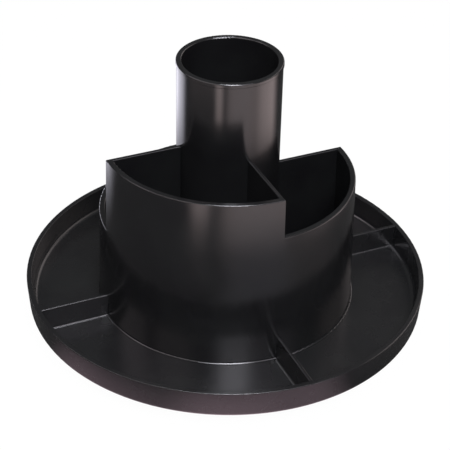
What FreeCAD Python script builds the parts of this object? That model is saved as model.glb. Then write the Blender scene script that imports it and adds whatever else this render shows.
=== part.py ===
import FreeCAD, Part
import math
import os
import re
import Sketcher
from FreeCAD import Placement, Rotation, Vector

# A revolving tool caddy: a dish-shaped tray with four radial ribs, a drum of four stepped pots
# and a tall straight tube on the axis, carried by a ring of balls on a low turntable base.
# Millimetres and degrees, +Z up, the turning axis on Z and the feet's undersides on Z = 0.

SIZES = {
    # Tray: a shallow round dish, its wall leaning outwards.
    "tray_radius": 110.0,
    "tray_height": 15.7,
    "tray_floor": 2.5,
    "tray_wall": 2.8,
    "tray_lean": 4.0,
    "tray_foot_round": 2.6,
    "tray_rim_round": 0.4,
    "tray_floor_round": 2.8,
    # Ribs: thin radial walls from the drum to the rim.
    "rib_top": 2.1,
    "rib_lean": 1.3,
    "rib_edge_round": 0.65,
    "rib_root_round": 1.4,
    "rib_root_spread": 2.2,
    "rib_drop": 0.1,
    "rib_sink": 0.5,
    "rib_bite": 0.9,
    "rib_overlap": 2.0,
    # Pot drum: a bottomless shell, narrower at the top, with a coved foot and four walls that
    # meet at the tube.
    "drum_radius": 70.2,
    "drum_wall": 3.2,
    "drum_lean": 1.4,
    "drum_edge_round": 0.6,
    "drum_gap": 0.08,
    "drum_cove": 1.2,
    "drum_cove_edge": 0.25,
    "drum_cove_round": 1.0,
    "drum_cove_height": 1.7,
    "pot_front_left": 97.0,
    "pot_front_right": 74.6,
    "pot_rear_left": 54.2,
    "pot_rear_right": 33.3,
    "drum_trim": 5.0,
    "divider_wall": 2.1,
    "boss_radius": 3.5,
    "boss_height": 10.0,
    "boss_bite": 0.6,
    # Centre tube: a straight pot with a beaded rim and a raised floor.
    "tube_radius": 27.4,
    "tube_height": 142.0,
    "tube_wall": 2.7,
    "tube_floor": 2.5,
    "tube_bead": 0.4,
    "tube_bead_height": 2.4,
    "tube_rim_round": 0.7,
    "tube_bead_round": 0.35,
    "tube_floor_round": 2.0,
    "tube_slip": 0.15,
    "tube_screw_circle": 16.0,
    # Hub of the tray and its threaded insert.
    "hub_radius": 7.5,
    "hub_roof": 1.7,
    "hub_headroom": 0.5,
    "insert_radius": 3.8,
    "insert_length": 6.0,
    # Pivot: a shoulder screw from below, turning in a flanged bush.
    "shoulder_radius": 4.0,
    "thread_radius": 2.5,
    "thread_length": 6.4,
    "pivot_head_radius": 6.4,
    "pivot_head_height": 2.2,
    "pivot_hex": 2.0,
    "pivot_hex_depth": 1.3,
    "bush_radius": 6.0,
    "flange_radius": 7.0,
    "flange_height": 0.8,
    "pivot_washer": 0.6,
    "thrust_washer": 1.0,
    "thrust_radius": 8.6,
    # Base: a low dish that stands on four feet and hides the bearing.
    "base_floor": 3.0,
    "base_wall": 2.6,
    "base_gap": 1.5,
    "base_rim_gap": 0.8,
    "base_foot_round": 1.2,
    "base_rim_round": 0.6,
    "base_boss_radius": 10.0,
    "counterbore_radius": 7.6,
    "counterbore_depth": 4.2,
    "feet_circle": 58.0,
    "foot_radius": 6.0,
    "foot_height": 3.0,
    "foot_taper": 0.6,
    "foot_round": 0.6,
    "foot_seat": 0.8,
    # Ball bearing: two grooved plates, a cage and its balls.
    "race_plate": 2.0,
    "race_inner": 44.0,
    "race_gap": 2.0,
    "race_edge": 1.6,
    "lower_screw_circle": 57.0,
    "ball_circle": 50.0,
    "ball_radius": 2.0,
    "ball_count": 16,
    "cage_plate": 1.0,
    "cage_width": 7.0,
    # Countersunk screws, given by radius, and their lengths.
    "screw_head": 3.0,
    "screw_shank": 1.5,
    "recess_width": 0.9,
    "recess_span": 3.4,
    "recess_depth": 0.9,
    "drum_screw_length": 12.0,
    "tube_screw_length": 9.0,
    "lower_screw_length": 4.5,
    # Clearances.
    "screw_slack": 0.2,
    "thread_slack": 0.05,
    "press_slack": 0.02,
    "running_slack": 0.05,
    "ball_slack": 0.3,
    "pocket_slack": 0.15,
    "thrust_slack": 0.1,
    "hole_end": 0.5,
}

# Levels and radii that follow from the driving sizes.
DERIVED = {
    "base_under": "foot_height - foot_seat",
    "base_top": "base_under + base_floor",
    "lower_race_top": "base_top + race_plate",
    "ball_level": "lower_race_top + race_gap / 2",
    "upper_race_under": "lower_race_top + race_gap",
    "tray_under": "upper_race_under + race_plate",
    "tray_top": "tray_under + tray_floor",
    "tray_rim": "tray_under + tray_height",
    "tray_rim_inner": "tray_radius - tray_wall",
    "tray_foot_radius": "tray_radius - tray_height * tan(tray_lean)",
    "tray_floor_radius": "tray_rim_inner - (tray_height - tray_floor) * tan(tray_lean)",
    "rib_inner": "drum_radius - rib_overlap",
    "rib_outer": "tray_rim_inner + rib_bite",
    "rib_level": "tray_rim - rib_drop",
    "rib_top_half": "rib_top / 2",
    "rib_root_half": "rib_top_half + (rib_level - tray_top) * tan(rib_lean)",
    "rib_wide": "rib_root_half + rib_root_spread",
    "rib_end": "drum_radius + drum_gap",
    "rib_notch_radius": "rib_end + drum_cove",
    "rib_notch_under": "drum_cove_under + drum_gap",
    "hub_bore": "insert_radius + press_slack",
    "hub_bore_top": "tray_under + thread_length + hole_end",
    "hub_top": "hub_bore_top + hub_roof",
    "tube_top": "tray_top + tube_height",
    "tube_inner": "tube_radius - tube_wall",
    "tube_floor_under": "hub_top + hub_headroom",
    "tube_floor_top": "tube_floor_under + tube_floor",
    "tube_bead_under": "tube_top - tube_bead_height",
    "drum_blank": "max(pot_front_left, pot_front_right, pot_rear_left, pot_rear_right) + drum_trim",
    "drum_top_loss": "drum_blank * tan(drum_lean)",
    "drum_cove_under": "tray_top + drum_cove_edge",
    "drum_cove_top": "tray_top + drum_cove_height",
    "drum_screw_circle": "drum_radius - drum_wall - boss_radius + boss_bite",
    "upper_race_outer": "drum_screw_circle + screw_head + race_edge",
    "lower_race_outer": "lower_screw_circle + screw_head + race_edge",
    "groove_radius": "ball_radius + ball_slack",
    "base_inner": "upper_race_outer + base_gap",
    "base_radius": "base_inner + base_wall",
    "base_rim": "tray_under - base_rim_gap",
    "base_boss_top": "tray_under - thrust_washer - thrust_slack",
    "bush_seat": "bush_radius + press_slack",
    "bush_bore": "shoulder_radius + running_slack",
    "counterbore_top": "base_under + counterbore_depth",
    "flange_under": "counterbore_top - flange_height",
    "washer_under": "flange_under - thrust_slack - pivot_washer",
    "pivot_head_under": "washer_under - pivot_head_height",
    "screw_hole": "screw_shank + screw_slack",
    "screw_pilot": "screw_shank + thread_slack",
    "screw_head_depth": "screw_head - screw_shank",
}

# How near an edge lies to a level or to the bore to count as on it, and how far above an edge
# the air is probed.
ON_LEVEL = 1e-4
ON_BORE = 1e-3
PROBE_RISE = 0.5

QUARTER_ANGLES = (45, 135, 225, 315)
QUARTER_NAMES = ("rear_right", "rear_left", "front_left", "front_right")

os.makedirs("parts", exist_ok=True)
doc = FreeCAD.newDocument("tool_carousel")
sheet = doc.addObject("Spreadsheet::Sheet", "Sizes")
for row, (alias, value) in enumerate(SIZES.items(), 1):
    sheet.set(f"A{row}", alias)
    sheet.set(f"B{row}", str(value))
    sheet.setAlias(f"B{row}", alias)
doc.recompute()

nodes = []


def bound(text):
    """Spell a size out in cells of the sheet, ready to bind a property to it."""
    def spell(match):
        word = match.group()
        if word in DERIVED:
            return "(" + bound(DERIVED[word]) + ")"
        return "Sizes." + word if word in SIZES else word
    return re.sub(r"[a-z_]+", spell, text)


def number(text):
    """The present value of a size."""
    return float(sheet.evalExpression(bound(text)))


def node(piece, label):
    """Keep a finished piece as a sub-part under its own label."""
    piece.Label = label
    nodes.append(piece)
    return piece


def place(piece, x="0", y="0", z="0", turn=Rotation()):
    """Set a piece down at a place that follows the sheet."""
    piece.Placement = Placement(Vector(), turn)
    for axis, text in zip("xyz", (x, y, z)):
        if text != "0":
            piece.setExpression("Placement.Base." + axis, bound(text))
    return piece


def around(piece, circle, angle, z="0", turn=Rotation()):
    """Set a piece down on a circle about the axis."""
    return place(piece, f"{circle} * cos({angle})", f"{circle} * sin({angle})", z, turn)


def primitive(kind, name, **sizes):
    """A primitive solid with each size bound to the sheet."""
    piece = doc.addObject("Part::" + kind, name)
    for key, text in sizes.items():
        piece.setExpression(key, bound(text))
    return piece


def join(name, pieces, kind="MultiFuse"):
    """A union, a common solid or a loose group of several pieces."""
    result = doc.addObject("Part::" + kind, name)
    if kind == "Compound":
        result.Links = pieces
    else:
        result.Shapes = pieces
        result.Refine = True
    return result


def cut(name, base, tools):
    """A solid less every one of the tools."""
    result = doc.addObject("Part::Cut", name)
    result.Base = base
    result.Tool = join(name + "_tools", tools, "Compound")
    return result


def origin_part(body, role):
    """One of a body's own origin planes or axes."""
    return next(item for item in body.Origin.OriginFeatures if item.Role == role)


def outline(body, name, role, corners):
    """A closed sketch of straight sides; a corner's third size, where it has one, rounds it."""
    sketch = body.newObject("Sketcher::SketchObject", name)
    sketch.AttachmentSupport = (origin_part(body, role), [""])
    sketch.MapMode = "FlatFace"
    count = len(corners)
    points = [Vector(number(corner[0]), number(corner[1]), 0) for corner in corners]
    starts = list(points)
    ends = list(points)
    arcs = {}
    for i, corner in enumerate(corners):
        if len(corner) < 3:
            continue
        back = (points[i - 1] - points[i]).normalize()
        ahead = (points[(i + 1) % count] - points[i]).normalize()
        radius = number(corner[2])
        middle = (back + ahead).normalize()
        reach = radius / (back - middle * back.dot(middle)).Length
        centre = points[i] + middle * reach
        tangent = reach * back.dot(middle)
        ends[i] = points[i] + back * tangent
        starts[i] = points[i] + ahead * tangent
        arcs[i] = (centre, radius)
    for i in range(count):
        sketch.addGeometry(Part.LineSegment(starts[i], ends[(i + 1) % count]), False)

    def pin(item, corner):
        for kind, text, axis in (("DistanceX", corner[0], -2), ("DistanceY", corner[1], -1)):
            if text == "0":
                sketch.addConstraint(Sketcher.Constraint("PointOnObject", item, 1, axis))
            else:
                rule = Sketcher.Constraint(kind, -1, 1, item, 1, number(text))
                sketch.setExpression(f"Constraints[{sketch.addConstraint(rule)}]", bound(text))

    for i, corner in enumerate(corners):
        before = (i - 1) % count
        if i not in arcs:
            sketch.addConstraint(Sketcher.Constraint("Coincident", before, 2, i, 1))
            pin(i, corner)
            continue
        centre, radius = arcs[i]
        circle = Part.Circle(centre, Vector(0, 0, 1), radius)
        first = circle.parameter(ends[i])
        last = circle.parameter(starts[i])
        onward = (ends[i] - centre).cross(starts[i] - centre).z > 0
        span = (first, last) if onward else (last, first)
        arc = sketch.addGeometry(Part.ArcOfCircle(circle, *span), False)
        tip = sketch.addGeometry(Part.Point(points[i]), True)
        pin(tip, corner)
        sketch.addConstraint(Sketcher.Constraint("PointOnObject", tip, 1, before))
        sketch.addConstraint(Sketcher.Constraint("PointOnObject", tip, 1, i))
        sketch.addConstraint(Sketcher.Constraint("Tangent", before, 2, arc, 1 if onward else 2))
        sketch.addConstraint(Sketcher.Constraint("Tangent", i, 1, arc, 2 if onward else 1))
        rule = sketch.addConstraint(Sketcher.Constraint("Radius", arc, radius))
        sketch.setExpression(f"Constraints[{rule}]", bound(corner[2]))
    return sketch


def turned(name, corners):
    """A body turned about Z from a half section given as radius and level."""
    body = doc.addObject("PartDesign::Body", name)
    turn = body.newObject("PartDesign::Revolution", name + "_turn")
    turn.Profile = outline(body, name + "_section", "XZ_Plane", corners)
    turn.ReferenceAxis = (turn.Profile[0], ["V_Axis"])
    turn.Angle = 360
    return body


def countersunk(name, length, slack="0"):
    """A countersunk screw, or the hole for one, with its head's face on Z = 0 and its tip up."""
    head = primitive("Cone", name + "_head", Radius1=f"screw_head + {slack}",
                     Radius2=f"screw_shank + {slack}", Height="screw_head_depth")
    shank = primitive("Cylinder", name + "_shank", Radius=f"screw_shank + {slack}", Height=length)
    return join(name, [head, shank])


def crossed(name, length):
    """A countersunk screw with a cross recess in its head."""
    bars = []
    for way, (across, along) in (("x", ("recess_span", "recess_width")),
                                 ("y", ("recess_width", "recess_span"))):
        bar = primitive("Box", f"{name}_bar_{way}", Length=across, Width=along,
                        Height="recess_depth")
        bars.append(place(bar, f"-{across} / 2", f"-{along} / 2"))
    return cut(name, countersunk(name + "_blank", length), bars)


# Base plate: a moulded dish with a central boss for the bush, seats for the feet below and
# holes for the screws of the lower race.
base = turned("base_blank", [
    ("counterbore_radius", "base_under"),
    ("base_radius", "base_under", "base_foot_round"),
    ("base_radius", "base_rim", "base_rim_round"),
    ("base_inner", "base_rim", "base_rim_round"),
    ("base_inner", "base_top"),
    ("base_boss_radius", "base_top"),
    ("base_boss_radius", "base_boss_top"),
    ("bush_seat", "base_boss_top"),
    ("bush_seat", "counterbore_top"),
    ("counterbore_radius", "counterbore_top"),
])
base_cuts = []
for i, angle in enumerate(QUARTER_ANGLES):
    seat = primitive("Cylinder", f"foot_seat_{i}", Radius="foot_radius + press_slack", Height="foot_seat")
    base_cuts.append(around(seat, "feet_circle", angle, "base_under"))
    hole = primitive("Cylinder", f"base_pilot_{i}", Radius="screw_pilot", Height="base_floor")
    base_cuts.append(around(hole, "lower_screw_circle", angle - 45, "base_under"))
node(cut("base_cut", base, base_cuts), "base_plate")

# Feet: four rubber buttons pressed into the seats under the base.
for quarter, angle in zip(QUARTER_NAMES, QUARTER_ANGLES):
    foot = turned("foot_" + quarter + "_body", [
        ("0", "0"),
        ("foot_radius - foot_taper", "0", "foot_round"),
        ("foot_radius", "foot_height - foot_seat"),
        ("foot_radius", "foot_height"),
        ("0", "foot_height"),
    ])
    node(around(foot, "feet_circle", angle), "foot_" + quarter)


def race(name, outer, under, groove_level, holes):
    """A flat bearing plate with a round groove for the balls and holes for its screws."""
    plate = primitive("Cylinder", name + "_disc", Radius=outer, Height="race_plate")
    bore = primitive("Cylinder", name + "_bore", Radius="race_inner", Height="race_plate")
    groove = primitive("Torus", name + "_groove", Radius1="ball_circle", Radius2="groove_radius")
    tools = [place(bore, z=under), place(groove, z=groove_level)] + holes
    return cut(name + "_cut", place(plate, z=under), tools)


# Lower race: the grooved plate screwed down on the base.
lower_holes = []
lower_screws = []
for i, angle in enumerate(QUARTER_ANGLES):
    flip = Rotation(Vector(1, 0, 0), 180)
    hole = countersunk(f"lower_hole_{i}", "lower_screw_length", "screw_slack")
    lower_holes.append(around(hole, "lower_screw_circle", angle - 45, "lower_race_top", flip))
    screw = crossed(f"lower_screw_{i}", "lower_screw_length")
    lower_screws.append(around(screw, "lower_screw_circle", angle - 45, "lower_race_top", flip))
node(race("lower", "lower_race_outer", "base_top", "ball_level", lower_holes), "lower_race")
node(join("lower_screws", lower_screws, "Compound"), "lower_race_screws")

# Ball cage: a thin ring with one pocket for each ball, floating between the races.
cage = doc.addObject("PartDesign::Body", "cage_body")
cage_ring = cage.newObject("PartDesign::Pad", "cage_ring")
ring_sketch = cage.newObject("Sketcher::SketchObject", "cage_ring_outline")
pocket_sketch = cage.newObject("Sketcher::SketchObject", "cage_pocket_outline")
for sketch in (ring_sketch, pocket_sketch):
    sketch.AttachmentSupport = (origin_part(cage, "XY_Plane"), [""])
    sketch.MapMode = "FlatFace"
for i, radius in enumerate(("ball_circle + cage_width / 2", "ball_circle - cage_width / 2")):
    ring_sketch.addGeometry(Part.Circle(Vector(), Vector(0, 0, 1), number(radius)), False)
    ring_sketch.addConstraint(Sketcher.Constraint("Coincident", i, 3, -1, 1))
    rule = ring_sketch.addConstraint(Sketcher.Constraint("Radius", i, number(radius)))
    ring_sketch.setExpression(f"Constraints[{rule}]", bound(radius))
cage_ring.Profile = ring_sketch
cage_ring.setExpression("Length", bound("cage_plate"))
pocket_at = Vector(number("ball_circle"), 0, 0)
pocket_radius = "ball_radius + pocket_slack"
pocket_sketch.addGeometry(Part.Circle(pocket_at, Vector(0, 0, 1), number(pocket_radius)), False)
pocket_sketch.addConstraint(Sketcher.Constraint("PointOnObject", 0, 3, -1))
for kind, points, text in (("DistanceX", (-1, 1, 0, 3), "ball_circle"), ("Radius", (0,), pocket_radius)):
    rule = pocket_sketch.addConstraint(Sketcher.Constraint(kind, *points, number(text)))
    pocket_sketch.setExpression(f"Constraints[{rule}]", bound(text))
cage_pocket = cage.newObject("PartDesign::Pocket", "cage_pocket")
cage_pocket.Profile = pocket_sketch
cage_pocket.Type = "ThroughAll"
cage_pocket.Reversed = True
cage_pockets = cage.newObject("PartDesign::PolarPattern", "cage_pockets")
cage_pockets.Originals = [cage_pocket]
cage_pockets.Axis = (origin_part(cage, "Z_Axis"), [""])
cage_pockets.Angle = 360
cage_pockets.setExpression("Occurrences", bound("ball_count"))
cage.Tip = cage_pockets
node(place(cage, z="ball_level - cage_plate / 2"), "ball_cage")

# Balls: one in each pocket, between the two grooves.
balls = []
for i in range(SIZES["ball_count"]):
    ball = primitive("Sphere", f"ball_{i}", Radius="ball_radius")
    balls.append(around(ball, "ball_circle", f"360 * {i} / ball_count", "ball_level"))
node(join("balls", balls, "Compound"), "bearing_balls")

# Upper race: the grooved plate under the tray, held by the drum's screws.
upper_holes = []
for i, angle in enumerate(QUARTER_ANGLES):
    hole = countersunk(f"upper_hole_{i}", "drum_screw_length", "screw_slack")
    upper_holes.append(around(hole, "drum_screw_circle", angle, "upper_race_under"))
node(race("upper", "upper_race_outer", "upper_race_under", "ball_level", upper_holes), "upper_race")

# Tray: the dish with its hub, four ribs whose inner ends follow the drum's lean and its coved
# foot, and holes for the screws of the drum and the tube.
tray = turned("tray_blank", [
    ("0", "hub_top"),
    ("hub_radius", "hub_top", "tray_rim_round"),
    ("hub_radius", "tray_top"),
    ("tray_floor_radius", "tray_top", "tray_floor_round"),
    ("tray_rim_inner", "tray_rim", "tray_rim_round"),
    ("tray_radius", "tray_rim", "tray_rim_round"),
    ("tray_foot_radius", "tray_under", "tray_foot_round"),
    ("hub_bore", "tray_under"),
    ("hub_bore", "hub_bore_top"),
    ("0", "hub_bore_top"),
])
rib_sketch = outline(tray, "rib_section", "YZ_Plane", [
    ("-rib_wide", "tray_top - rib_sink"),
    ("rib_wide", "tray_top - rib_sink"),
    ("rib_wide", "tray_top"),
    ("rib_root_half", "tray_top", "rib_root_round"),
    ("rib_top_half", "rib_level", "rib_edge_round"),
    ("-rib_top_half", "rib_level", "rib_edge_round"),
    ("-rib_root_half", "tray_top", "rib_root_round"),
    ("-rib_wide", "tray_top"),
])
rib_sketch.setExpression("AttachmentOffset.Base.z", bound("rib_inner"))
rib = tray.newObject("PartDesign::Pad", "rib")
rib.Profile = rib_sketch
rib.setExpression("Length", bound("rib_outer - rib_inner"))
ribs = tray.newObject("PartDesign::PolarPattern", "ribs")
ribs.Originals = [rib]
ribs.Axis = (origin_part(tray, "Z_Axis"), [""])
ribs.Angle = 360
ribs.Occurrences = len(QUARTER_ANGLES)
tray.Tip = ribs
notch = turned("rib_notch", [
    ("rib_inner - rib_overlap", "tray_top"),
    ("rib_notch_radius", "tray_top"),
    ("rib_notch_radius", "rib_notch_under"),
    ("rib_end - (rib_notch_under - tray_top) * tan(drum_lean)", "rib_notch_under", "drum_cove_round"),
    ("rib_end - tray_height * tan(drum_lean)", "tray_top + tray_height"),
    ("rib_inner - rib_overlap", "tray_top + tray_height"),
])
tray_cuts = [notch]
for i, angle in enumerate(QUARTER_ANGLES):
    hole = primitive("Cylinder", f"tray_hole_{i}", Radius="screw_hole", Height="tray_floor")
    tray_cuts.append(around(hole, "drum_screw_circle", angle, "tray_under"))
for i, angle in enumerate((0, 180)):
    hole = countersunk(f"tube_hole_{i}", "tray_floor", "screw_slack")
    tray_cuts.append(around(hole, "tube_screw_circle", angle, "tray_under"))
node(cut("tray_cut", tray, tray_cuts), "tray")

# Threaded insert: a plain brass sleeve pressed into the hub from below.
insert = turned("insert_body", [
    ("thread_radius + thread_slack", "tray_under"),
    ("insert_radius", "tray_under"),
    ("insert_radius", "tray_under + insert_length"),
    ("thread_radius + thread_slack", "tray_under + insert_length"),
])
node(insert, "hub_insert")

# Pivot bush: a flanged sleeve pressed into the base's boss from below.
bush = turned("bush_body", [
    ("bush_bore", "flange_under"),
    ("flange_radius", "flange_under"),
    ("flange_radius", "counterbore_top"),
    ("bush_radius", "counterbore_top"),
    ("bush_radius", "base_boss_top"),
    ("bush_bore", "base_boss_top"),
])
node(bush, "pivot_bush")

# Thrust washer on top of the boss, and the washer over the pivot screw's head.
thrust = turned("thrust_body", [
    ("bush_bore", "base_boss_top"),
    ("thrust_radius", "base_boss_top"),
    ("thrust_radius", "base_boss_top + thrust_washer"),
    ("bush_bore", "base_boss_top + thrust_washer"),
])
node(thrust, "thrust_washer")
washer = turned("washer_body", [
    ("bush_bore", "washer_under"),
    ("pivot_head_radius", "washer_under"),
    ("pivot_head_radius", "washer_under + pivot_washer"),
    ("bush_bore", "washer_under + pivot_washer"),
])
node(washer, "pivot_washer")

# Pivot screw: its shoulder turns in the bush and its thread holds in the insert.
pivot = turned("pivot_blank", [
    ("0", "pivot_head_under"),
    ("pivot_head_radius", "pivot_head_under", "foot_round"),
    ("pivot_head_radius", "washer_under"),
    ("shoulder_radius", "washer_under"),
    ("shoulder_radius", "tray_under"),
    ("thread_radius", "tray_under"),
    ("thread_radius", "tray_under + thread_length"),
    ("0", "tray_under + thread_length"),
])
hexagon = primitive("Prism", "pivot_hexagon", Circumradius="pivot_hex", Height="pivot_hex_depth")
node(cut("pivot_cut", pivot, [place(hexagon, z="pivot_head_under")]), "pivot_screw")

# Pot drum: a leaning shell with a coved foot, cut into four pots by walls that run in to the
# tube. Each pot is cut down to its own height, each wall to the height of its taller pot, and a
# screw boss stands at the foot of each pot.
drum_outside = primitive("Cone", "drum_outside", Radius1="drum_radius",
                         Radius2="drum_radius - drum_top_loss", Height="drum_blank")
drum_inside = primitive("Cone", "drum_inside", Radius1="drum_radius - drum_wall",
                        Radius2="drum_radius - drum_wall - drum_top_loss", Height="drum_blank")
place(drum_outside, z="tray_top")
place(drum_inside, z="tray_top")
drum_foot = turned("drum_foot", [
    ("drum_radius - drum_wall / 2", "tray_top"),
    ("drum_radius + drum_cove", "tray_top"),
    ("drum_radius + drum_cove", "drum_cove_under"),
    ("drum_radius - drum_cove_edge * tan(drum_lean)", "drum_cove_under", "drum_cove_round"),
    ("drum_radius - drum_cove_height * tan(drum_lean)", "drum_cove_top"),
    ("drum_radius - drum_wall / 2", "drum_cove_top"),
])
spaces = []
bosses = []
pilots = []
trims = []
for i, (quarter, angle) in enumerate(zip(QUARTER_NAMES, QUARTER_ANGLES)):
    turn = Rotation(Vector(0, 0, 1), angle - 45)
    block = primitive("Box", "space_block_" + quarter, Length="drum_radius", Width="drum_radius",
                      Height="drum_blank")
    corner = turn.multVec(Vector(1, 1, 0))
    half = "divider_wall / 2"
    place(block, f"{corner.x:.0f} * {half}", f"{corner.y:.0f} * {half}", "tray_top", turn)
    spaces.append(join("space_" + quarter, [drum_inside, block], "MultiCommon"))
    boss = primitive("Cylinder", f"drum_boss_{i}", Radius="boss_radius", Height="boss_height")
    bosses.append(around(boss, "drum_screw_circle", angle, "tray_top"))
    pilot = primitive("Cylinder", f"drum_pilot_{i}", Radius="screw_pilot",
                      Height="drum_screw_length + hole_end")
    pilots.append(around(pilot, "drum_screw_circle", angle, "upper_race_under"))
    pot = "pot_" + quarter
    last, ahead = ("pot_" + QUARTER_NAMES[(i + step) % 4] for step in (-1, 1))
    along = f"({pot} > {last} ? -{half} : {half})"
    across = f"({pot} > {ahead} ? -{half} : {half})"
    trim = primitive("Box", "trim_" + quarter, Length="2 * drum_radius", Width="2 * drum_radius",
                     Height=f"drum_blank - {pot}")
    east, north = turn.multVec(Vector(1, 0, 0)), turn.multVec(Vector(0, 1, 0))
    place(trim, f"{east.x:.0f} * {across} + {north.x:.0f} * {along}",
          f"{east.y:.0f} * {across} + {north.y:.0f} * {along}", f"tray_top + {pot}", turn)
    trims.append(trim)
drum_bore = primitive("Cylinder", "drum_bore", Radius="tube_radius + tube_slip", Height="drum_blank")
place(drum_bore, z="tray_top")
drum_shell = cut("drum_shell", drum_outside, spaces)
drum_cut = join("drum_bossed", [drum_shell, drum_foot] + bosses)
drum_cut = cut("drum_bored", drum_cut, pilots + [drum_bore])
for quarter, trim in zip(QUARTER_NAMES, trims):
    drum_cut = cut("drum_trimmed_" + quarter, drum_cut, [trim])
doc.recompute()


def rim_edges(shape, levels, bore):
    """The free edges of the pots' rims: level, outside the bore, with open air right above."""
    chosen = []
    for index, edge in enumerate(shape.Edges, 1):
        box = edge.BoundBox
        if box.ZLength > ON_LEVEL or min(abs(box.ZMin - level) for level in levels) > ON_LEVEL:
            continue
        middle = edge.valueAt((edge.FirstParameter + edge.LastParameter) / 2)
        at_tube = abs(math.hypot(middle.x, middle.y) - bore) < ON_BORE
        if not at_tube and not shape.isInside(middle + Vector(0, 0, PROBE_RISE), ON_BORE, True):
            chosen.append(index)
    return chosen


drum = doc.addObject("Part::Fillet", "drum_rounded")
drum.Base = drum_cut
edge_round = number("drum_edge_round")
pot_levels = [number(f"tray_top + pot_{quarter}") for quarter in QUARTER_NAMES]
free_edges = rim_edges(drum_cut.Shape, pot_levels, number("tube_radius + tube_slip"))
drum.Edges = [(index, edge_round, edge_round) for index in free_edges]
node(drum, "pot_drum")
drum_screws = []
for i, angle in enumerate(QUARTER_ANGLES):
    screw = crossed(f"drum_screw_{i}", "drum_screw_length")
    drum_screws.append(around(screw, "drum_screw_circle", angle, "upper_race_under"))
node(join("drum_screw_group", drum_screws, "Compound"), "drum_screws")

# Centre tube: a straight pot with a beaded rim; two bosses under its floor stand on the tray.
tube = turned("tube_blank", [
    ("0", "tube_floor_under"),
    ("tube_inner", "tube_floor_under"),
    ("tube_inner", "tray_top"),
    ("tube_radius", "tray_top"),
    ("tube_radius", "tube_bead_under"),
    ("tube_radius + tube_bead", "tube_bead_under", "tube_bead_round"),
    ("tube_radius + tube_bead", "tube_top", "tube_rim_round"),
    ("tube_inner", "tube_top", "tube_rim_round"),
    ("tube_inner", "tube_floor_top", "tube_floor_round"),
    ("0", "tube_floor_top"),
])
tube_parts = [tube]
tube_pilots = []
tube_screws = []
for i, angle in enumerate((0, 180)):
    boss = primitive("Cylinder", f"tube_boss_{i}", Radius="boss_radius",
                     Height="tube_floor_under - tray_top")
    tube_parts.append(around(boss, "tube_screw_circle", angle, "tray_top"))
    pilot = primitive("Cylinder", f"tube_pilot_{i}", Radius="screw_pilot",
                      Height="tube_screw_length + hole_end")
    tube_pilots.append(around(pilot, "tube_screw_circle", angle, "tray_under"))
    screw = crossed(f"tube_screw_{i}", "tube_screw_length")
    tube_screws.append(around(screw, "tube_screw_circle", angle, "tray_under"))
node(cut("tube_cut", join("tube_body", tube_parts), tube_pilots), "centre_tube")
node(join("tube_screw_group", tube_screws, "Compound"), "tube_screws")

doc.recompute()
for piece in doc.Objects:
    if "Invalid" in piece.State or "Error" in piece.State:
        raise RuntimeError(f"{piece.Label} failed to build")
for piece in nodes:
    if piece.Shape.isNull() or not piece.Shape.isValid() or not piece.Shape.Solids:
        raise RuntimeError(f"{piece.Label} has no sound solid")
for piece in nodes:
    piece.Shape.exportStep(f"parts/{piece.Label}.step")
    print(piece.Label, len(piece.Shape.Solids), "solids", round(piece.Shape.Volume, 1), "mm3")
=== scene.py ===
import bmesh
import bpy
import math
from mathutils import Matrix, Vector

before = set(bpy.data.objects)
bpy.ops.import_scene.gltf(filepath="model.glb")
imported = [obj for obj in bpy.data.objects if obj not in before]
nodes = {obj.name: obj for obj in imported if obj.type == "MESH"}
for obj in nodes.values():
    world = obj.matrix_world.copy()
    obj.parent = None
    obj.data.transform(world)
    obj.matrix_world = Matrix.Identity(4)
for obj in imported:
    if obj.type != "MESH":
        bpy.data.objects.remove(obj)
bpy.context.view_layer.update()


# Base plate: a low round dish under the tray, injection-moulded in black ABS. Its mould was
# spark-eroded, so the skin is an even matt grain; the feet, the bush and the lower race fix to it.
GRAIN_BLACK = "#171716"
GRAIN_BLACK_WORN = "#1f1e1d"
WORN_PATCH_MM = 18.0
GRAIN_MM = 0.5
GRAIN_HEIGHT_MM = 0.012
GRAIN_ROUGHNESS = 0.46
ABS_IOR = 1.54
MM_PER_METRE = 1000.0
PATCH_DETAIL = 3.0
PATCH_LOW = 0.3
PATCH_HIGH = 0.7
GLOSS_SWING = 0.1
RELIEF_DETAIL = 2.0


def linear(hex_colour):
    """An sRGB hex colour as linear red, green, blue and alpha."""
    channels = [int(hex_colour[i:i + 2], 16) / 255 for i in (1, 3, 5)]
    return [c / 12.92 if c <= 0.04045 else ((c + 0.055) / 1.055) ** 2.4 for c in channels] + [1.0]


def add(tree, kind, links=None, **settings):
    """Add a node: settings name its properties or sockets, links say which output feeds a socket."""
    item = tree.nodes.new("ShaderNode" + kind)
    for name, value in settings.items():
        if hasattr(item, name):
            setattr(item, name, value)
        else:
            item.inputs[name.replace("_", " ")].default_value = value
    for socket, output in (links or {}).items():
        tree.links.new(output, item.inputs[socket])
    return item


def new_material(name):
    """An empty node material and its tree."""
    material = bpy.data.materials.new(name)
    material.use_nodes = True
    material.node_tree.nodes.clear()
    return material, material.node_tree


def per_metre(size_mm):
    """The scale of a pattern whose features measure size_mm, on coordinates in metres."""
    return MM_PER_METRE / size_mm


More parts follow.
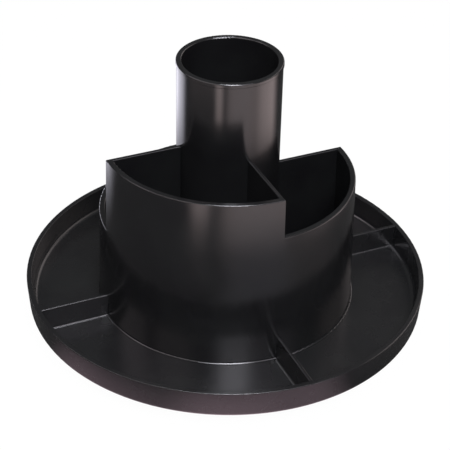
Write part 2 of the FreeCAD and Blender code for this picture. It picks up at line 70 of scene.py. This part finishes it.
def skin(name, shades, patch_mm, grain_mm, grain_height_mm, roughness, **shader_settings):
    """A solid material: two shades in slow patches that also vary the gloss, and a fine relief."""
    material, tree = new_material(name)
    place = add(tree, "TexCoord").outputs["Object"]
    patches = add(tree, "TexNoise", {"Vector": place}, Scale=per_metre(patch_mm), Detail=PATCH_DETAIL)
    colour = add(tree, "ValToRGB", {"Fac": patches.outputs["Fac"]})
    for stop, position, shade in zip(colour.color_ramp.elements, (PATCH_LOW, PATCH_HIGH), shades):
        stop.position = position
        stop.color = linear(shade)
    gloss = add(tree, "MapRange", {"Value": patches.outputs["Fac"]},
                From_Min=PATCH_LOW, From_Max=PATCH_HIGH,
                To_Min=roughness * (1 - GLOSS_SWING), To_Max=roughness * (1 + GLOSS_SWING))
    grain = add(tree, "TexNoise", {"Vector": place}, Scale=per_metre(grain_mm), Detail=RELIEF_DETAIL)
    relief = add(tree, "Bump", {"Height": grain.outputs["Fac"]},
                 Distance=grain_height_mm / MM_PER_METRE)
    links = {"Base Color": colour.outputs["Color"], "Roughness": gloss.outputs["Result"],
             "Normal": relief.outputs["Normal"]}
    shader = add(tree, "BsdfPrincipled", links, **shader_settings)
    add(tree, "OutputMaterial", {"Surface": shader.outputs[0]})
    return material


def wear(material, *names):
    """Give carried-over solids their finished material."""
    for name in names:
        slots = nodes[name].data.materials
        slots.clear()
        slots.append(material)


grained_abs = skin("grained_black_abs", (GRAIN_BLACK, GRAIN_BLACK_WORN), WORN_PATCH_MM, GRAIN_MM,
                   GRAIN_HEIGHT_MM, GRAIN_ROUGHNESS, IOR=ABS_IOR)
wear(grained_abs, "base_plate")


# Feet: four buttons of moulded nitrile rubber pressed into seats under the base. Rubber is dull,
# and a pale bloom comes to its skin in cloudy patches.
RUBBER_DARK = "#1b1a19"
RUBBER_BLOOM = "#2b2927"
BLOOM_PATCH_MM = 4.0
RUBBER_GRAIN_MM = 0.4
RUBBER_GRAIN_HEIGHT_MM = 0.01
RUBBER_ROUGHNESS = 0.72
NITRILE_IOR = 1.52
nitrile_rubber = skin("nitrile_rubber", (RUBBER_DARK, RUBBER_BLOOM), BLOOM_PATCH_MM, RUBBER_GRAIN_MM,
                      RUBBER_GRAIN_HEIGHT_MM, RUBBER_ROUGHNESS, IOR=NITRILE_IOR)
wear(nitrile_rubber, "foot_rear_right", "foot_rear_left", "foot_front_left", "foot_front_right")


# Races: two steel plates with a rolled groove, punched, then barrel zinc-plated. The bright zinc
# is faintly blue and clouded, with a soft gloss; the upper one is held by the drum's screws.
ZINC_LIGHT = "#c3c6c8"
ZINC_CLOUD = "#a7abae"
ZINC_CLOUD_MM = 5.0
ROLLED_GRAIN_MM = 0.7
ROLLED_GRAIN_HEIGHT_MM = 0.003
ZINC_ROUGHNESS = 0.33
zinc_plate = skin("zinc_plated_steel", (ZINC_CLOUD, ZINC_LIGHT), ZINC_CLOUD_MM, ROLLED_GRAIN_MM,
                  ROLLED_GRAIN_HEIGHT_MM, ZINC_ROUGHNESS, Metallic=1.0)
wear(zinc_plate, "lower_race", "upper_race")


# Screws: cold-headed countersunk steel screws with a cross recess, and the shoulder screw of the
# pivot with its washer. Small plated parts tumble together, so they are greyer and more scuffed.
SCREW_LIGHT = "#b4b5b3"
SCREW_SCUFF = "#8f918f"
SCUFF_PATCH_MM = 1.6
SCUFF_MM = 0.35
SCUFF_DEPTH_MM = 0.004
SCREW_ROUGHNESS = 0.36
screw_zinc = skin("tumbled_zinc_screws", (SCREW_SCUFF, SCREW_LIGHT), SCUFF_PATCH_MM, SCUFF_MM,
                  SCUFF_DEPTH_MM, SCREW_ROUGHNESS, Metallic=1.0)
wear(screw_zinc, "lower_race_screws", "drum_screws", "tube_screws", "pivot_screw", "pivot_washer")


# Balls: ground and polished bearing steel, sixteen in the cage's pockets. They are close to
# mirrors, under a thin smear of grease.
BALL_STEEL = "#d3d4d6"
BALL_SMEAR = "#c2c1bb"
SMEAR_MM = 2.5
GREASE_RIPPLE_MM = 0.9
GREASE_RIPPLE_HEIGHT_MM = 0.001
BALL_ROUGHNESS = 0.1
bearing_steel = skin("polished_bearing_steel", (BALL_SMEAR, BALL_STEEL), SMEAR_MM, GREASE_RIPPLE_MM,
                     GREASE_RIPPLE_HEIGHT_MM, BALL_ROUGHNESS, Metallic=1.0)
wear(bearing_steel, "bearing_balls")


# Cage, pivot bush and thrust washer: natural acetal, moulded. It is a milky white with a waxy,
# slippery gloss; the bush is pressed into the base's boss and the washer lies on top.
ACETAL_MILK = "#e6e3d8"
ACETAL_CREAM = "#dbd6c6"
MILK_CLOUD_MM = 6.0
WAXY_GRAIN_MM = 0.8
WAXY_GRAIN_HEIGHT_MM = 0.004
ACETAL_ROUGHNESS = 0.38
ACETAL_IOR = 1.48
natural_acetal = skin("natural_acetal", (ACETAL_CREAM, ACETAL_MILK), MILK_CLOUD_MM, WAXY_GRAIN_MM,
                      WAXY_GRAIN_HEIGHT_MM, ACETAL_ROUGHNESS, IOR=ACETAL_IOR)
wear(natural_acetal, "ball_cage", "pivot_bush", "thrust_washer")


# Hub insert: a sleeve turned from brass bar and pressed into the tray's hub. Cut brass is bright
# yellow and dulls to brown in blotches.
BRASS_BRIGHT = "#cfa857"
BRASS_DULL = "#a98139"
TARNISH_MM = 2.0
TOOL_MARK_MM = 0.25
TOOL_MARK_DEPTH_MM = 0.003
BRASS_ROUGHNESS = 0.28
turned_brass = skin("turned_brass", (BRASS_DULL, BRASS_BRIGHT), TARNISH_MM, TOOL_MARK_MM,
                    TOOL_MARK_DEPTH_MM, BRASS_ROUGHNESS, Metallic=1.0)
wear(turned_brass, "hub_insert")


# Tray, pot drum and centre tube: three mouldings in black polystyrene, the drum and the tube
# screwed to the tray from below. Their moulds were polished to a satin, the tray's the least, so the
# skin blurs what it mirrors, with a faint orange peel and slow flow clouds that the gloss shows.
MOULDED_BLACK = "#0f0f10"
FLOW_BLACK = "#131414"
FLOW_CLOUD_MM = 24.0
ORANGE_PEEL_MM = 1.1
ORANGE_PEEL_HEIGHT_MM = 0.001
POLYSTYRENE_IOR = 1.59
SATIN_ROUGHNESS = {"tray": 0.27, "pot_drum": 0.19, "centre_tube": 0.2}
for name, roughness in SATIN_ROUGHNESS.items():
    satin = skin("satin_black_polystyrene_" + name, (MOULDED_BLACK, FLOW_BLACK), FLOW_CLOUD_MM,
                 ORANGE_PEEL_MM, ORANGE_PEEL_HEIGHT_MM, roughness, IOR=POLYSTYRENE_IOR)
    wear(satin, name)


# Floor: a plain white paper sweep that the caddy stands on. The camera sees it as white with a faint
# contact shadow. In the gloss it shows painted light instead: a dim painted shade level with fans of
# painted light in front, on both sides and behind on the left, put into its emission, and these give the
# walls their mirrored gradients.
FLOOR_HALF = 6.0
PAPER_WHITE = "#f4f3f2"
PURE_WHITE = "#ffffff"
PAPER_GLOW = 0.98
PAINTED_SHADE_PAPER = 0.05
WARM_PAINTED_LIGHT = "#ffe9e8"
MAUVE_PAINTED_LIGHT = "#ffdaea"
COOL_PAINTED_LIGHT = "#f3f1ff"
# Fans of painted light on the floor, as glossy and transmission rays see it.
PAINTED_LIGHT_FANS = (
    # azimuth of the middle in degrees, cosines from it at which the fan starts and is full,
    # distances from the axis in metres at which it starts and is full, strength, colour
    (27.0, (0.45, 0.68), (0.198, 0.24), 1.3, WARM_PAINTED_LIGHT),
    (66.0, (0.82, 0.98), (0.18, 0.25), 0.9, WARM_PAINTED_LIGHT),
    (-75.0, (0.7, 0.9), (0.28, 0.32), 0.49, WARM_PAINTED_LIGHT),
    (-44.0, (0.98, 0.997), (0.236, 0.256), 1.3, WARM_PAINTED_LIGHT),
    (-44.0, (0.992, 0.9995), (0.212, 0.246), 1.2, WARM_PAINTED_LIGHT),
    (-12.0, (0.84, 0.98), (0.15, 0.13), 0.84, MAUVE_PAINTED_LIGHT),
    (-46.0, (0.7, 0.93), (0.14, 0.118), 0.62, MAUVE_PAINTED_LIGHT),
    (40.0, (0.88, 0.98), (0.122, 0.138), 0.07, WARM_PAINTED_LIGHT),
    (0.0, (0.87, 0.998), (0.13, 0.15), 0.22, COOL_PAINTED_LIGHT),
    (-158.0, (0.84, 0.97), (0.14, 0.28), 2.9, COOL_PAINTED_LIGHT),
)


def towards(azimuth, elevation=0.0):
    """The direction at an azimuth from the front, positive to the right, and an elevation, in degrees."""
    turn, rise = math.radians(azimuth), math.radians(elevation)
    return Vector((math.sin(turn) * math.cos(rise), -math.cos(turn) * math.cos(rise), math.sin(rise)))


floor_mesh = bpy.data.meshes.new("floor")
floor_shape = bmesh.new()
bmesh.ops.create_grid(floor_shape, x_segments=1, y_segments=1, size=FLOOR_HALF)
floor_shape.to_mesh(floor_mesh)
floor_shape.free()
floor = bpy.data.objects.new("floor", floor_mesh)
bpy.context.collection.objects.link(floor)
paper, tree = new_material("white_paper_sweep_painted_light")
rays = add(tree, "LightPath")
mirrored = add(tree, "Math", {0: rays.outputs["Is Glossy Ray"], 1: rays.outputs["Is Transmission Ray"]},
               operation="MAXIMUM")
seen = add(tree, "Math", {0: rays.outputs["Is Camera Ray"], 1: mirrored.outputs[0]}, operation="MAXIMUM")
share = add(tree, "Math", {0: seen.outputs[0]}, operation="MULTIPLY")
share.inputs[1].default_value = PAPER_GLOW
place = add(tree, "TexCoord").outputs["Object"]
reach = add(tree, "VectorMath", {0: place}, operation="LENGTH").outputs["Value"]
heading = add(tree, "VectorMath", {0: place}, operation="NORMALIZE").outputs["Vector"]
painted_light = None
# Each fan adds a patch of painted light on top of the painted shade level.
for azimuth, spread, range_m, strength, colour in PAINTED_LIGHT_FANS:
    facing = add(tree, "VectorMath", {0: heading}, operation="DOT_PRODUCT")
    facing.inputs[1].default_value = towards(azimuth)
    across = add(tree, "MapRange", {"Value": facing.outputs["Value"]}, interpolation_type="SMOOTHSTEP",
                 From_Min=spread[0], From_Max=spread[1])
    along = add(tree, "MapRange", {"Value": reach}, interpolation_type="SMOOTHSTEP",
                From_Min=range_m[0], From_Max=range_m[1], To_Max=strength)
    fan = add(tree, "Math", {0: across.outputs["Result"], 1: along.outputs["Result"]}, operation="MULTIPLY")
    total = add(tree, "VectorMath", {1: fan.outputs[0]}, operation="MULTIPLY_ADD")
    total.inputs[0].default_value = linear(colour)[:3]
    total.inputs[2].default_value = [PAINTED_SHADE_PAPER] * 3
    if painted_light:
        tree.links.new(painted_light.outputs[0], total.inputs[2])
    painted_light = total
white = add(tree, "Emission", Color=linear(PURE_WHITE), Strength=1.0)
# Glossy and transmission rays see the painted light and painted shade as emission; the camera sees even
# white.
painted_light_glow = add(tree, "Emission", {"Color": painted_light.outputs[0]}, Strength=1.0)
glow = add(tree, "MixShader", {0: mirrored.outputs[0], 1: white.outputs[0], 2: painted_light_glow.outputs[0]})
matt = add(tree, "BsdfDiffuse", Color=linear(PAPER_WHITE))
both = add(tree, "MixShader", {0: share.outputs[0], 1: matt.outputs[0], 2: glow.outputs[0]})
add(tree, "OutputMaterial", {"Surface": both.outputs[0]})
floor_mesh.materials.append(paper)


# Studio light: a dim room, a strong soft box over the camera, five large weak ones round the table
# and a small one overhead that lines the edges. The camera itself sees the room as white paper.
ROOM_LIGHT = 0.115
LAMPS = {
    # azimuth and elevation in degrees, distance and side in metres, watts, colour
    "front_box": (-15.0, 48.0, 1.3, 0.44, 19.0, "#f8f6ff"),
    "front_right_box": (20.0, 46.0, 2.5, 1.2, 11.0, "#fdf3ff"),
    "left_box": (-70.0, 46.0, 2.5, 1.2, 11.0, "#fff3f5"),
    "rear_left_box": (-115.0, 46.0, 2.5, 1.2, 11.0, "#fff2f7"),
    "right_box": (84.0, 26.0, 2.5, 1.2, 6.0, "#fff3f0"),
    "rear_right_box": (120.0, 26.0, 2.5, 1.2, 6.0, "#fff1f0"),
    "top_box": (-24.0, 84.0, 1.2, 0.3, 7.0, "#f4f6ff"),
}
world = bpy.data.worlds.new("studio")
bpy.context.scene.world = world
world.use_nodes = True
tree = world.node_tree
tree.nodes.clear()
rays = add(tree, "LightPath")
room_strength = add(tree, "Math", {0: rays.outputs["Is Camera Ray"]}, operation="MAXIMUM")
room_strength.inputs[1].default_value = ROOM_LIGHT
room = add(tree, "Background", {"Strength": room_strength.outputs[0]}, Color=linear(PURE_WHITE))
add(tree, "OutputWorld", {"Surface": room.outputs[0]})
for name, (azimuth, elevation, distance, side, watts, colour) in LAMPS.items():
    lamp = bpy.data.lights.new(name, "AREA")
    lamp.shape = "SQUARE"
    lamp.size = side
    lamp.energy = watts
    lamp.color = linear(colour)[:3]
    box = bpy.data.objects.new(name, lamp)
    bpy.context.collection.objects.link(box)
    box.location = towards(azimuth, elevation) * distance
    box.rotation_euler = (-box.location).to_track_quat("-Z", "Y").to_euler()


# Camera: a long lens above the front left, placed where the circles of the tray, the drum and the
# tube fall as they do in the photograph.
VIEW_TURN = math.radians(24.4)
VIEW_REACH = 0.66352
VIEW_HEIGHT = 0.50008
VIEW_PAN = math.radians(-0.0636)
VIEW_TILT = math.radians(33.912)
VIEW_ROLL = math.radians(1.2408)
SENSOR_MM = 36.0
LENS_MM = 116.967
camera_data = bpy.data.cameras.new("photo_view")
camera_data.sensor_width = SENSOR_MM
camera_data.lens = LENS_MM
camera = bpy.data.objects.new("photo_view", camera_data)
bpy.context.collection.objects.link(camera)
camera.matrix_world = (
    Matrix.Rotation(-VIEW_TURN, 4, "Z")
    @ Matrix.Translation((0, -VIEW_REACH, VIEW_HEIGHT))
    @ Matrix.Rotation(-VIEW_PAN, 4, "Z")
    @ Matrix.Rotation(math.radians(90) - VIEW_TILT, 4, "X")
    @ Matrix.Rotation(VIEW_ROLL, 4, "Z")
)
bpy.context.scene.camera = camera
bpy.context.scene.view_settings.view_transform = "Standard"
